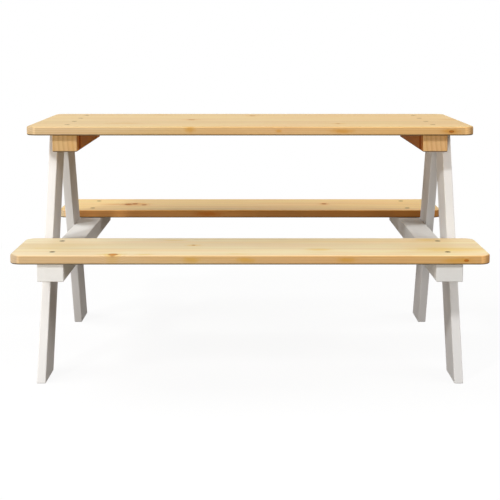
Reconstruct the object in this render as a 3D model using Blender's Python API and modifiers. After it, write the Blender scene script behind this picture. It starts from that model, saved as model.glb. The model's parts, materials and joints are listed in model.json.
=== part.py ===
"""A kids' table with two fixed benches, in natural pine and white-painted wood.

The set stands on the floor at the origin. X runs along the seats, Y from the
front bench (-Y) to the rear bench (+Y) and Z is up, all in metres. At each end
a cleat carries the tabletop, a bearer carries both seats, and a pair of legs is
screwed to their outer faces. Left is -X, as seen from the front.
"""

import math

import bmesh
import bpy
from mathutils import Matrix, Vector

# Overall sizes
BOARD_LENGTH = 0.900
OVERALL_DEPTH = 0.790
TABLE_HEIGHT = 0.496
SEAT_HEIGHT = 0.270

# Tabletop and seats
TABLE_WIDTH = 0.410
BENCH_WIDTH = 0.196
BOARD_THICKNESS = 0.018
CORNER_RADIUS = 0.022
BOARD_EDGE_RADIUS = 0.003

# Cleats and bearers, the rails that run from front to back
RAIL_WIDTH = 0.050
RAIL_HEIGHT = 0.034
CLEAT_INSET = 0.0175
BEARER_INSET = 0.009
RAIL_EDGE_RADIUS = 0.002

# Legs
LEG_WIDTH = 0.088
LEG_THICKNESS = 0.018
LEG_EDGE_RADIUS = 0.002
END_OVERHANG = 0.033
APEX_GAP = 0.014

# Screws through the boards. A row's margin is from the end of the cleat, or
# from the long edge of the seat, to the nearest screw.
BOARD_SCREW_LENGTH = 0.035
BOARD_SCREW_HEAD = 0.008
BOARD_SCREW_SHANK = 0.004
TABLE_SCREW_MARGIN = 0.0375
TABLE_SCREWS_PER_CLEAT = 4
BENCH_SCREW_MARGIN = 0.036
BENCH_SCREWS_PER_BEARER = 2

# Screws through the legs. The margin is from the leg's edge, square to it, and
# the rise is from the underside of the rail.
LEG_SCREW_LENGTH = 0.050
LEG_SCREW_HEAD = 0.010
LEG_SCREW_SHANK = 0.005
LEG_SCREW_MARGIN = 0.022
LEG_SCREW_RISE = 0.010
SCREWS_PER_LEG_JOINT = 2

# Head and cross recess of a screw, as shares of its head's diameter. The floor
# of the recess is a share of its mouth, and the tip a share of the shank.
HEAD_RIM_SHARE = 0.05
HEAD_SINK_SHARE = 0.04
RECESS_SPAN_SHARE = 0.56
RECESS_BLADE_SHARE = 0.13
RECESS_DEPTH_SHARE = 0.24
RECESS_FLOOR_SHARE = 0.35
TIP_LENGTH_SHARE = 1.5

# Gap left between pieces that touch, how far a cutter runs past a face, and the
# distance under which the points of a turned shape are one
FIT = 0.0003
OVERRUN = 0.002
MERGE_DISTANCE = FIT / 10

# Smoothness
CORNER_SEGMENTS = 8
BOARD_EDGE_SEGMENTS = 3
EDGE_SEGMENTS = 2
SCREW_SIDES = 16
SHARP_ANGLE = math.radians(35)

# Levels that follow from the sizes above
TABLE_UNDERSIDE = TABLE_HEIGHT - BOARD_THICKNESS
SEAT_UNDERSIDE = SEAT_HEIGHT - BOARD_THICKNESS
CLEAT_LEVEL = TABLE_UNDERSIDE - FIT - RAIL_HEIGHT / 2
BEARER_LEVEL = SEAT_UNDERSIDE - FIT - RAIL_HEIGHT / 2
LEG_TOP = TABLE_UNDERSIDE - FIT

# Places that follow from the sizes above, measured from the middle of the set
BENCH_CENTRE = (OVERALL_DEPTH - BENCH_WIDTH) / 2
BENCH_INNER_EDGE = OVERALL_DEPTH / 2 - BENCH_WIDTH
LEG_OUTER_FACE = BOARD_LENGTH / 2 - END_OVERHANG
LEG_CENTRE = LEG_OUTER_FACE - LEG_THICKNESS / 2
RAIL_CENTRE = LEG_OUTER_FACE - LEG_THICKNESS - FIT - RAIL_WIDTH / 2
CLEAT_LENGTH = TABLE_WIDTH - 2 * CLEAT_INSET
BEARER_LENGTH = OVERALL_DEPTH - 2 * BEARER_INSET

# A leg's outer edge just clears the lower edge of the seat, and its inner edge
# meets the tabletop half the apex gap from the middle. The lean follows.
LEG_RUN = BENCH_INNER_EDGE - FIT - APEX_GAP / 2
LEG_RISE = LEG_TOP - SEAT_UNDERSIDE
LEG_LEAN = math.acos(LEG_WIDTH / math.hypot(LEG_RUN, LEG_RISE)) - math.atan2(LEG_RISE, LEG_RUN)
LEG_CUT_WIDTH = LEG_WIDTH / math.cos(LEG_LEAN)
FOOT_CENTRE = BENCH_INNER_EDGE - FIT + SEAT_UNDERSIDE * math.tan(LEG_LEAN) - LEG_CUT_WIDTH / 2

# How far the outermost screws of each row lie from its middle
TABLE_SCREW_REACH = CLEAT_LENGTH / 2 - TABLE_SCREW_MARGIN
BENCH_SCREW_REACH = BENCH_WIDTH / 2 - BENCH_SCREW_MARGIN
LEG_SCREW_REACH = LEG_CUT_WIDTH / 2 - LEG_SCREW_MARGIN / math.cos(LEG_LEAN)

# Colours and finish: base colour, roughness, metallic
FINISHES = {
    "pine_tabletop": ((0.78, 0.55, 0.29), 0.50, 0.0),
    "pine_seat": ((0.80, 0.60, 0.34), 0.50, 0.0),
    "pine_cleat": ((0.62, 0.39, 0.20), 0.60, 0.0),
    "white_paint_bearer": ((0.86, 0.84, 0.81), 0.42, 0.0),
    "white_paint_leg": ((0.87, 0.86, 0.84), 0.42, 0.0),
    "zinc_screw": ((0.60, 0.58, 0.54), 0.35, 1.0),
}

SIDES = {"left": -1, "right": 1}
ENDS = {"front": -1, "rear": 1}


def clear_scene():
    for old in list(bpy.data.objects):
        bpy.data.objects.remove(old, do_unlink=True)


def new_collection(name):
    collection = bpy.data.collections.new(name)
    bpy.context.scene.collection.children.link(collection)
    return collection


def make_finish(name):
    colour, roughness, metallic = FINISHES[name]
    material = bpy.data.materials.new(name)
    material.use_nodes = True
    shader = material.node_tree.nodes["Principled BSDF"]
    shader.inputs["Base Color"].default_value = (*colour, 1.0)
    shader.inputs["Roughness"].default_value = roughness
    shader.inputs["Metallic"].default_value = metallic
    material.diffuse_color = (*colour, 1.0)
    return material


def mesh_from(bm, name):
    mesh = bpy.data.meshes.new(name)
    bm.to_mesh(mesh)
    bm.free()
    return mesh


def add_piece(name, mesh, finish, parent, location):
    """Link a wooden piece to the model, smooth where it is rounded."""
    mesh.shade_smooth()
    mesh.materials.append(finish)
    piece = bpy.data.objects.new(name, mesh)
    model.objects.link(piece)
    piece.parent = parent
    piece.location = location
    return piece


def add_empty(name, parent, location):
    empty = bpy.data.objects.new(name, None)
    model.objects.link(empty)
    empty.parent = parent
    empty.location = location
    return empty


def ease_edges(piece, radius, segments):
    """Round every edge of a piece over, as sanding does."""
    bevel = piece.modifiers.new("eased edges", "BEVEL")
    bevel.width = radius
    bevel.segments = segments
    bevel.limit_method = "ANGLE"
    bevel.angle_limit = SHARP_ANGLE


def even_shading(piece):
    """Keep the flat faces looking flat beside their rounded edges."""
    normals = piece.modifiers.new("even shading", "WEIGHTED_NORMAL")
    normals.keep_sharp = True


def box_mesh(size):
    bm = bmesh.new()
    bmesh.ops.create_cube(bm, size=1)
    bmesh.ops.scale(bm, vec=size, verts=bm.verts)
    return bm


def add_board(name, width, finish, across, surface):
    """A flat board with rounded corners in plan and eased edges all round."""
    bm = box_mesh(Vector((BOARD_LENGTH, width, BOARD_THICKNESS)))
    uprights = [edge for edge in bm.edges if edge.verts[0].co.z != edge.verts[1].co.z]
    bmesh.ops.bevel(
        bm, geom=uprights, offset=CORNER_RADIUS, segments=CORNER_SEGMENTS, profile=0.5, affect="EDGES"
    )
    place = (0, across, surface - BOARD_THICKNESS / 2)
    board = add_piece(name, mesh_from(bm, name), finish, whole_set, place)
    ease_edges(board, BOARD_EDGE_RADIUS, BOARD_EDGE_SEGMENTS)
    return board


def add_rail(name, length, finish, parent, level):
    """A cleat or a bearer: a straight rail that lies front to back."""
    bm = box_mesh(Vector((RAIL_WIDTH, length, RAIL_HEIGHT)))
    rail = add_piece(name, mesh_from(bm, name), finish, parent, (0, 0, level))
    ease_edges(rail, RAIL_EDGE_RADIUS, EDGE_SEGMENTS)
    return rail


def saw_off(bm, place, direction):
    """Cut a closed mesh with a plane, drop what lies beyond it and cap the cut."""
    everything = bm.verts[:] + bm.edges[:] + bm.faces[:]
    bmesh.ops.bisect_plane(bm, geom=everything, plane_co=place, plane_no=direction, clear_outer=True)
    rim = [edge for edge in bm.edges if edge.is_boundary]
    bmesh.ops.holes_fill(bm, edges=rim)


def add_leg(name, finish, parent, side, end):
    """A leaning plank, sawn level at the floor and just under the tabletop.

    The plank stands along its own Z, with its origin where its middle line
    meets the floor, and the object's rotation gives it its lean.
    """
    lean = Matrix.Rotation(end * LEG_LEAN, 3, "X")
    up = lean.inverted() @ Vector((0, 0, 1))
    top = Vector((0, 0, LEG_TOP / math.cos(LEG_LEAN)))
    plank_length = 2 * (top.z + LEG_WIDTH)
    bm = box_mesh(Vector((LEG_THICKNESS, LEG_WIDTH, plank_length)))
    saw_off(bm, top, up)
    saw_off(bm, Vector((0, 0, 0)), -up)
    place = (side * (LEG_CENTRE - RAIL_CENTRE), end * FOOT_CENTRE, 0)
    leg = add_piece(name, mesh_from(bm, name), finish, parent, place)
    leg.rotation_euler.x = end * LEG_LEAN
    ease_edges(leg, LEG_EDGE_RADIUS, EDGE_SEGMENTS)
    return leg


def turned(name, profile, collection):
    """Spin a profile, given as radius and height from top to bottom, round Z."""
    mesh = bpy.data.meshes.new(name)
    points = [(radius, 0, height) for radius, height in profile]
    links = [(number, number + 1) for number in range(len(points) - 1)]
    mesh.from_pydata(points, links, [])
    shape = bpy.data.objects.new(name, mesh)
    collection.objects.link(shape)
    spin = shape.modifiers.new("turned", "SCREW")
    spin.steps = SCREW_SIDES
    spin.render_steps = SCREW_SIDES
    spin.use_merge_vertices = True
    spin.merge_threshold = MERGE_DISTANCE
    return shape


def screw_profile(head, shank, length, clearance, headroom):
    """Half outline of a countersunk screw whose head is level with z = 0.

    A clearance widens and deepens it into the hole that the screw needs, and
    the headroom carries that hole out through the surface.
    """
    rim = HEAD_RIM_SHARE * head
    cone = (head - shank) / 2
    head_radius = head / 2 + clearance
    shank_radius = shank / 2 + clearance
    bottom = length + clearance
    return [
        (0, headroom),
        (head_radius, headroom),
        (head_radius, -rim),
        (shank_radius, -rim - cone),
        (shank_radius, TIP_LENGTH_SHARE * shank - bottom),
        (0, -bottom),
    ]


def recess_blade(name, head, turn):
    """One blade of the cross recess, narrower at its floor."""
    depth = RECESS_DEPTH_SHARE * head
    size = Vector((RECESS_SPAN_SHARE * head, RECESS_BLADE_SHARE * head, 2 * depth))
    bm = box_mesh(size)
    floor = [vert for vert in bm.verts if vert.co.z < 0]
    bmesh.ops.scale(bm, vec=(RECESS_FLOOR_SHARE, RECESS_FLOOR_SHARE, 1), verts=floor)
    blade = bpy.data.objects.new(name, mesh_from(bm, name))
    cutters.objects.link(blade)
    blade.rotation_euler.z = turn
    hide_cutter(blade)
    return blade


def hide_cutter(cutter):
    cutter.hide_render = True
    cutter.display_type = "WIRE"


def cut(piece, cutter):
    boolean = piece.modifiers.new("cut by " + cutter.name, "BOOLEAN")
    boolean.operation = "DIFFERENCE"
    boolean.solver = "EXACT"
    boolean.object = cutter


def screw_mesh(name, head, shank, length):
    """The shared mesh of one kind of screw, with its cross recess cut in."""
    shape = turned(name, screw_profile(head, shank, length, 0, 0), model)
    for number, turn in enumerate((0, math.pi / 2), start=1):
        cut(shape, recess_blade(f"{name}_recess_{number}", head, turn))
    bpy.context.view_layer.update()
    finished = shape.evaluated_get(bpy.context.evaluated_depsgraph_get())
    mesh = bpy.data.meshes.new_from_object(finished)
    bpy.data.objects.remove(shape)
    mesh.name = name
    mesh.shade_smooth()
    mesh.set_sharp_from_angle(angle=SHARP_ANGLE)
    mesh.materials.append(zinc)
    return mesh


def hole_mesh(name, head, shank, length):
    """The shared mesh of the hole that one kind of screw needs."""
    shape = turned(name, screw_profile(head, shank, length, FIT, OVERRUN), cutters)
    bpy.context.view_layer.update()
    finished = shape.evaluated_get(bpy.context.evaluated_depsgraph_get())
    mesh = bpy.data.meshes.new_from_object(finished)
    bpy.data.objects.remove(shape)
    mesh.name = name
    return mesh


def drive_screw(name, kind, place, tilt, joined):
    """Put one screw in place and bore its hole in the pieces that it joins."""
    mesh, hole = kind
    screw = bpy.data.objects.new(name, mesh)
    model.objects.link(screw)
    cutter = bpy.data.objects.new(name + "_hole", hole)
    cutters.objects.link(cutter)
    hide_cutter(cutter)
    for item in (screw, cutter):
        item.parent = whole_set
        item.location = place
        item.rotation_euler.y = tilt
    for piece in joined:
        cut(piece, cutter)


def row(middle, reach, count):
    """Evenly spaced places, from a reach before a middle to a reach after it."""
    return [middle + reach * (2 * number / (count - 1) - 1) for number in range(count)]


def screw_board(board, rail, label, side, places_across, surface):
    """A row of screws down through a board into the rail under its end."""
    sink = HEAD_SINK_SHARE * BOARD_SCREW_HEAD
    for number, across in enumerate(places_across, start=1):
        place = (side * RAIL_CENTRE, across, surface - sink)
        drive_screw(f"screw_{label}_{number}", board_screw, place, 0, (board, rail))


def screw_leg(leg, rail, label, side, end, rail_level):
    """Two screws in through a leg's outer face, low in a rail, astride the leg's middle line."""
    sink = HEAD_SINK_SHARE * LEG_SCREW_HEAD
    level = rail_level - RAIL_HEIGHT / 2 + LEG_SCREW_RISE
    middle = FOOT_CENTRE - level * math.tan(LEG_LEAN)
    for number, across in enumerate(row(middle, LEG_SCREW_REACH, SCREWS_PER_LEG_JOINT), start=1):
        place = (side * (LEG_OUTER_FACE - sink), end * across, level)
        drive_screw(f"screw_{label}_{number}", leg_screw, place, side * math.pi / 2, (leg, rail))


def add_end_frame(side_name):
    """The cleat, the bearer, the pair of legs and their screws at one end."""
    side = SIDES[side_name]
    frame = add_empty(f"frame_{side_name}", whole_set, (side * RAIL_CENTRE, 0, 0))
    cleat = add_rail(f"cleat_{side_name}", CLEAT_LENGTH, pine_cleat, frame, CLEAT_LEVEL)
    bearer = add_rail(f"bearer_{side_name}", BEARER_LENGTH, painted_rail, frame, BEARER_LEVEL)
    table_row = row(0, TABLE_SCREW_REACH, TABLE_SCREWS_PER_CLEAT)
    screw_board(tabletop, cleat, f"table_{side_name}", side, table_row, TABLE_HEIGHT)
    for end_name, end in ENDS.items():
        bench = benches[end_name]
        bench_row = row(end * BENCH_CENTRE, BENCH_SCREW_REACH, BENCH_SCREWS_PER_BEARER)
        screw_board(bench, bearer, f"bench_{end_name}_{side_name}", side, bench_row, SEAT_HEIGHT)
        leg_name = f"leg_{end_name}_{side_name}"
        leg = add_leg(leg_name, painted_leg, frame, side, end)
        screw_leg(leg, cleat, f"{leg_name}_cleat", side, end, CLEAT_LEVEL)
        screw_leg(leg, bearer, f"{leg_name}_bearer", side, end, BEARER_LEVEL)


clear_scene()
model = new_collection("kids_table_with_benches")
cutters = new_collection("cutters")

pine_tabletop = make_finish("pine_tabletop")
pine_seat = make_finish("pine_seat")
pine_cleat = make_finish("pine_cleat")
painted_rail = make_finish("white_paint_bearer")
painted_leg = make_finish("white_paint_leg")
zinc = make_finish("zinc_screw")

board_size = (BOARD_SCREW_HEAD, BOARD_SCREW_SHANK, BOARD_SCREW_LENGTH)
leg_size = (LEG_SCREW_HEAD, LEG_SCREW_SHANK, LEG_SCREW_LENGTH)
board_screw = (screw_mesh("board_screw", *board_size), hole_mesh("board_screw_hole", *board_size))
leg_screw = (screw_mesh("leg_screw", *leg_size), hole_mesh("leg_screw_hole", *leg_size))

whole_set = add_empty("table_and_benches", None, (0, 0, 0))
tabletop = add_board("tabletop", TABLE_WIDTH, pine_tabletop, 0, TABLE_HEIGHT)
benches = {
    end_name: add_board(f"bench_{end_name}", BENCH_WIDTH, pine_seat, end * BENCH_CENTRE, SEAT_HEIGHT)
    for end_name, end in ENDS.items()
}
for side_name in SIDES:
    add_end_frame(side_name)
for piece in model.objects:
    if piece.modifiers:
        even_shading(piece)
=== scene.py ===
# %% [markdown]
# # A kids' table with two fixed benches
# A pine tabletop and two pine seats lie on two end frames. Each frame has a
# cleat under the tabletop, a bearer under both seats and two leaning legs.
# The measured model is loaded first, because every piece made below takes its
# size and its place from it.

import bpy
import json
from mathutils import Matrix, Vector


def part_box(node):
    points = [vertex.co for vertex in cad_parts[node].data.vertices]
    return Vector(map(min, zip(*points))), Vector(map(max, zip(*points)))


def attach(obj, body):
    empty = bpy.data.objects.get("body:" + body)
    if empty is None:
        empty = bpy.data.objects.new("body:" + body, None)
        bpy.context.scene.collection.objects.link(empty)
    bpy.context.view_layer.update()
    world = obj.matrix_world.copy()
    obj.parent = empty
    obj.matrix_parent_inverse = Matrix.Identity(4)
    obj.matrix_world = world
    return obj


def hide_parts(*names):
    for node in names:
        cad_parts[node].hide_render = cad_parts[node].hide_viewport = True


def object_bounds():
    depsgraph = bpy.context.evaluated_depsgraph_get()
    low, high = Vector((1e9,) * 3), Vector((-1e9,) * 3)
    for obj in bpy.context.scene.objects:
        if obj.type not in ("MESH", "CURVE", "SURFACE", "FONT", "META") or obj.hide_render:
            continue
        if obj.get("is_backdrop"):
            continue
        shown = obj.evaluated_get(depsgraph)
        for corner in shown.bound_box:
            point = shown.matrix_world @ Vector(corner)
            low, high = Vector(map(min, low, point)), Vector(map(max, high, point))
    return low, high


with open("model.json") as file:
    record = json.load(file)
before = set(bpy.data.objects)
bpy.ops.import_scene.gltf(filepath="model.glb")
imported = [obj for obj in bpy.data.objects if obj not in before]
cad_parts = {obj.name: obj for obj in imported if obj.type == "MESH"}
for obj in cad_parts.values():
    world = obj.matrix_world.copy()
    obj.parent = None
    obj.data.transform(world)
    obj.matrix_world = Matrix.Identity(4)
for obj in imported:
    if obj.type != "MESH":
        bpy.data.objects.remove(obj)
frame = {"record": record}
cad_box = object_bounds()
print("measured box:", [[round(value, 4) for value in corner] for corner in cad_box])

# %% [markdown]
# ## Tools
# Blender's own modules do the work: bmesh edits meshes face by face, and
# mathutils has the vectors and matrices that turn and move them. The record of
# the measured model names every node and the kind of material it is made of.
# The set faces the front, which is where Y is below zero.

# %% Import the tools
import json
import math

import bmesh
import bpy
from mathutils import Matrix, Vector

RIGHT = (1, 0, 0)
FRONT = (0, -1, 0)
BACK = (0, 1, 0)
UP = (0, 0, 1)
DOWN = (0, 0, -1)

scene = bpy.context.scene
record_nodes = {part["node"]: part["material_slot"] for part in frame["record"]["subparts"]}
print("nodes to finish:", len(record_nodes))

# %% [markdown]
# ## Camera
# The set was photographed from the front, from a little above the tabletop. A
# long lens keeps the two ends almost parallel. The view could be had with a
# level camera and a large shift, but such a shift throws the set out of the
# picture when it is seen from elsewhere. So the camera looks slightly down, and
# only the rest of the framing is a small shift. A new camera looks straight
# down, and a right angle turns it level first.

# %% Place the camera
CAMERA_PLACE = Vector((0.0, -2.629, 0.674))
CAMERA_PITCH = math.radians(5.30)
LEVEL = math.radians(90)
LENS_MM = 87.54
PICTURE_SHIFT = -0.20


def add_camera(place, pitch, lens, shift):
    data = bpy.data.cameras.new("front_camera")
    data.lens = lens
    data.shift_y = shift
    camera = bpy.data.objects.new("front_camera", data)
    camera.location = place
    camera.rotation_euler.x = LEVEL - pitch
    scene.collection.objects.link(camera)
    scene.camera = camera
    return camera


camera = add_camera(CAMERA_PLACE, CAMERA_PITCH, LENS_MM, PICTURE_SHIFT)
print("camera:", tuple(round(value, 3) for value in camera.location), "lens", LENS_MM)

# %% [markdown]
# ## Shader sums
# A finish is a recipe of nodes. Written out node by node, its sums are hard to
# read. This class wraps an output socket, so that an expression such as
# `1 - mask * 0.3` adds the Math nodes that work it out. The reflected forms
# are there because a plain number may stand on the left.

# %% Wrap a socket for sums
class Value:
    """The output of a node. Operators on it add Math nodes to its tree."""

    def __init__(self, recipe, socket):
        self.recipe = recipe
        self.socket = socket

    def sibling(self, name):
        """Another output of the same node."""
        return Value(self.recipe, self.socket.node.outputs[name])

    def math(self, operation, *terms):
        return self.recipe.node("ShaderNodeMath", {"operation": operation}, dict(enumerate(terms)))

    def __add__(self, other):
        return self.math("ADD", self, other)

    def __radd__(self, other):
        return self.math("ADD", other, self)

    def __sub__(self, other):
        return self.math("SUBTRACT", self, other)

    def __rsub__(self, other):
        return self.math("SUBTRACT", other, self)

    def __mul__(self, other):
        return self.math("MULTIPLY", self, other)

    def __rmul__(self, other):
        return self.math("MULTIPLY", other, self)

    def __truediv__(self, other):
        return self.math("DIVIDE", self, other)

    def __pow__(self, other):
        return self.math("POWER", self, other)

    def __abs__(self):
        return self.math("ABSOLUTE", self)


print("sums on a socket:", "+  -  *  /  **  abs")

# %% [markdown]
# Any other node comes from one method, which takes the node's type, its
# settings and what goes into its sockets. Settings come first, because a
# node's mode decides which sockets it has. A socket is named, or numbered where
# several have one name, and those that the mode has switched off don't count.

# %% Build a node tree step by step
class EmptyTree:
    """A node tree that is written from nothing, one node at a time."""

    def __init__(self, tree):
        self.tree = tree
        tree.nodes.clear()

    def find(self, sockets, key):
        usable = [socket for socket in sockets if not socket.is_unavailable]
        if isinstance(key, int):
            return usable[key]
        return next(socket for socket in usable if socket.name == key)

    def node(self, kind, settings=None, inputs=None, output=0):
        made = self.tree.nodes.new(kind)
        for name, setting in (settings or {}).items():
            setattr(made, name, setting)
        for name, value in (inputs or {}).items():
            socket = self.find(made.inputs, name)
            if isinstance(value, Value):
                self.tree.links.new(value.socket, socket)
            else:
                socket.default_value = value
        if not made.outputs:
            return made
        return Value(self, self.find(made.outputs, output))


print("every node comes from:", EmptyTree.node.__name__)

# %% [markdown]
# The nodes that are needed most get short names. Colours are mixed by a Mix
# node: a Math node would turn them grey. Soft limits come from Map Range, whose
# smooth step starts and ends gently, where a plain Math node would leave a line.

# %% Give the common nodes short names
class Recipe(EmptyTree):
    """A node tree with a method for each kind of step in a finish."""

    def mix(self, factor, first, second, blend="MIX"):
        settings = {"data_type": "RGBA", "blend_type": blend}
        inputs = {"Factor": factor, "A": first, "B": second}
        return self.node("ShaderNodeMix", settings, inputs, "Result")

    def smooth(self, value, low, high):
        """0 below low, 1 above high, and an even curve between them."""
        settings = {"interpolation_type": "SMOOTHSTEP"}
        inputs = {"Value": value, "From Min": low, "From Max": high}
        return self.node("ShaderNodeMapRange", settings, inputs)

    def fade(self, value, low, high):
        """The reverse: 1 below low and 0 above high."""
        return 1 - self.smooth(value, low, high)

    def band(self, value, rise, fall):
        """0 before the rise, 1 after it, and 0 again after the fall."""
        return self.smooth(value, *rise) * self.fade(value, *fall)

    def vector(self, operation, first, second):
        return self.node("ShaderNodeVectorMath", {"operation": operation}, {0: first, 1: second})

    def dot(self, first, second):
        settings = {"operation": "DOT_PRODUCT"}
        return self.node("ShaderNodeVectorMath", settings, {0: first, 1: second}, "Value")

    def length(self, vector):
        return self.node("ShaderNodeVectorMath", {"operation": "LENGTH"}, {0: vector}, "Value")

    def noise(self, vector, cells, detail=2.0, roughness=0.5):
        """Noise with a number of cells per metre along each axis."""
        stretched = self.vector("MULTIPLY", vector, cells)
        inputs = {"Vector": stretched, "Scale": 1.0, "Detail": detail, "Roughness": roughness}
        return self.node("ShaderNodeTexNoise", {}, inputs)

    def bump(self, height, strength, distance):
        inputs = {"Strength": strength, "Distance": distance, "Height": height}
        return self.node("ShaderNodeBump", {}, inputs)

    def principled(self, inputs):
        """The one shader that every finish ends in, joined to the output."""
        surface = self.node("ShaderNodeBsdfPrincipled", {}, inputs)
        self.node("ShaderNodeOutputMaterial", {}, {"Surface": surface})


print("short names for nodes:", [name for name in vars(Recipe) if not name.startswith("_")])

# %% [markdown]
# A colour for a socket has four numbers, the last of which says that it is
# opaque. Every finish starts from a new material with an empty recipe.

# %% Start a finish
def rgb(red, green, blue):
    return (red, green, blue, 1.0)


def new_finish(name):
    material = bpy.data.materials.new(name)
    material.use_nodes = True
    return material, Recipe(material.node_tree)


WHITE = rgb(1.0, 1.0, 1.0)
print("white for a socket:", WHITE)

# %% [markdown]
# ## Background
# The photograph has a white background. A world that is simply white would also
# light the set from all sides and leave no dark undersides. So the world is
# white only where the camera looks at it, and in reflections, where lacquer
# then shows a white room. Its light on the set is kept low.

# %% Make the white room
ROOM_LIGHT = rgb(0.06, 0.052, 0.044)


def seen_directly(recipe):
    """1 where a ray comes from the camera, a reflection or a clear pane."""
    path = recipe.node("ShaderNodeLightPath", output="Is Camera Ray")
    reflected = path.sibling("Is Glossy Ray")
    through = path.sibling("Is Transmission Ray")
    either = path.math("MAXIMUM", path, reflected)
    return path.math("MAXIMUM", either, through)


def make_world():
    world = bpy.data.worlds.new("white_room")
    scene.world = world
    world.use_nodes = True
    recipe = Recipe(world.node_tree)
    light = recipe.node("ShaderNodeBackground", {}, {"Color": ROOM_LIGHT, "Strength": 1.0})
    backdrop = recipe.node("ShaderNodeBackground", {}, {"Color": WHITE, "Strength": 1.0})
    chosen = recipe.node("ShaderNodeMixShader", {}, {0: seen_directly(recipe), 1: light, 2: backdrop})
    recipe.node("ShaderNodeOutputWorld", {}, {"Surface": chosen})
    return world


print("world:", make_world().name)

# %% [markdown]
# The floor takes the set's shadow. It is white to the camera, with a small
# share of real, shaded white in it, so that the shadow stays faint as in the
# photograph. To light that bounces it is a dull brown floor, because a white
# one would brighten every underside. Only at the front left does a paler sheet
# lie on it. Past the set the shadow fades to the plain white.

# %% Lay the floor
FLOOR_RADIUS = 3.0
FLOOR_SIDES = 96
SHADOW_SHARE = 0.08
SHADOW_REACH = (0.75, 1.5)
BOUNCE_COLOUR = rgb(0.14, 0.107, 0.078)
SHEET_COLOUR = rgb(0.60, 0.53, 0.45)
SHEET_SIDE = Vector((-1, -0.7, 0)).normalized()
SHEET_REACH = (0.38, 0.75)


def floor_finish():
    material, recipe = new_finish("studio_floor")
    place = recipe.node("ShaderNodeTexCoord", output="Object")
    near = recipe.fade(recipe.length(place), *SHADOW_REACH)
    white = recipe.node("ShaderNodeEmission", {}, {"Color": WHITE, "Strength": 1.0})
    shaded = recipe.node("ShaderNodeBsdfDiffuse", {}, {"Color": WHITE})
    seen = recipe.node("ShaderNodeMixShader", {}, {0: SHADOW_SHARE * near, 1: white, 2: shaded})
    on_sheet = recipe.smooth(recipe.dot(place, SHEET_SIDE), *SHEET_REACH)
    ground = recipe.mix(on_sheet, BOUNCE_COLOUR, SHEET_COLOUR)
    bounce = recipe.node("ShaderNodeBsdfDiffuse", {}, {"Color": ground})
    both = recipe.node("ShaderNodeMixShader", {}, {0: seen_directly(recipe), 1: bounce, 2: seen})
    recipe.node("ShaderNodeOutputMaterial", {}, {"Surface": both})
    return material


def add_floor():
    bm = bmesh.new()
    bmesh.ops.create_circle(bm, cap_ends=True, segments=FLOOR_SIDES, radius=FLOOR_RADIUS)
    mesh = bpy.data.meshes.new("studio_floor")
    bm.to_mesh(mesh)
    bm.free()
    mesh.materials.append(floor_finish())
    floor = bpy.data.objects.new("studio_floor", mesh)
    scene.collection.objects.link(floor)
    floor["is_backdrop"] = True
    return floor


floor = add_floor()
print("floor faces:", len(floor.data.polygons), "radius:", FLOOR_RADIUS, "m")

# %% [markdown]
# ## Lamps
# One large lamp would light the set, but it would leave it without the crisp
# shadows of a product studio. So seven lamps share the work. The small key lamp,
# high on the front left, draws the shadows under the tabletop and the seats. The
# large left lamp lights the tops, and the right one answers it at two thirds.
# The two in front lift the boards' front edges. The low one on the left looks in
# under the tabletop, and a weak one behind separates the rear legs. Reflections
# already show a white room, so only the key lamp adds its own glint.
#
# A lamp's power is written as a share of the plain level, at which a white card
# facing it is just white: for an area lamp that takes pi squared times its
# distance squared.

# %% Hang the lamps
AIM = Vector((0.0, 0.0, 0.3))
LAMPS = {
    "key_lamp": {"turn": -34, "height": 34, "distance": 5.0, "size": (0.45, 0.45), "share": 0.40},
    "left_lamp": {"turn": -90, "height": 46, "distance": 4.0, "size": (2.4, 1.6), "share": 0.57},
    "low_left_lamp": {"turn": -66, "height": 3, "distance": 4.0, "size": (1.6, 0.4), "share": 0.22},
    "front_lamp": {"turn": 0, "height": 8, "distance": 4.5, "size": (1.6, 0.8), "share": 0.21},
    "front_right_lamp": {"turn": 50, "height": 27, "distance": 4.5, "size": (1.6, 0.8), "share": 0.21},
    "right_lamp": {"turn": 90, "height": 33, "distance": 4.0, "size": (2.2, 1.6), "share": 0.38},
    "back_lamp": {"turn": 150, "height": 38, "distance": 4.5, "size": (2.2, 1.2), "share": 0.10},
}


def add_lamp(name, turn, height, distance, size, share):
    """An area lamp, turned right of the front and lifted, both in degrees."""
    data = bpy.data.lights.new(name, "AREA")
    data.shape = "RECTANGLE"
    data.size, data.size_y = size
    data.energy = share * math.pi ** 2 * distance ** 2
    lamp = bpy.data.objects.new(name, data)
    swung = Matrix.Rotation(math.radians(turn), 3, "Z")
    lifted = Matrix.Rotation(math.radians(-height), 3, "X")
    towards_lamp = swung @ lifted @ Vector(FRONT)
    lamp.location = AIM + distance * towards_lamp
    lamp.rotation_euler = towards_lamp.to_track_quat("Z", "Y").to_euler()
    lamp.visible_glossy = name == "key_lamp"
    scene.collection.objects.link(lamp)
    return lamp


for name, place in LAMPS.items():
    lamp = add_lamp(name, **place)
    print(name, "at", tuple(round(value, 2) for value in lamp.location), f"{lamp.data.energy:.0f} W")

# %% [markdown]
# Blender's default view bends bright colours towards grey, as film does. The
# Standard view shows each colour as it was written.

# %% Show colours as written
scene.view_settings.view_transform = "Standard"
print("view:", scene.view_settings.view_transform)

# %% [markdown]
# ## Pine
# Pine shows its growth rings. Each ring is pale wood that ends in a thin amber
# line, and a board is a slice through many of them. The bands could be drawn on
# the surface with a Wave texture, but the top, the edge and the end of a board
# would not agree. Here the figure is worked out in depth: the distance to the
# middle of the trunk gives the ring at every point of the wood.
#
# For that, every mesh made below stores, at each point, where it lies in its
# piece: along the grain, across it, and up through the piece, in metres from
# its middle. A finish reads the three numbers back from this attribute.

# %% Read a piece's own coordinates
GRAIN = "grain"
ALONG = (1, 0, 0)
ACROSS = (0, 1, 0)
BACK_ACROSS = (0, -1, 0)


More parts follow.
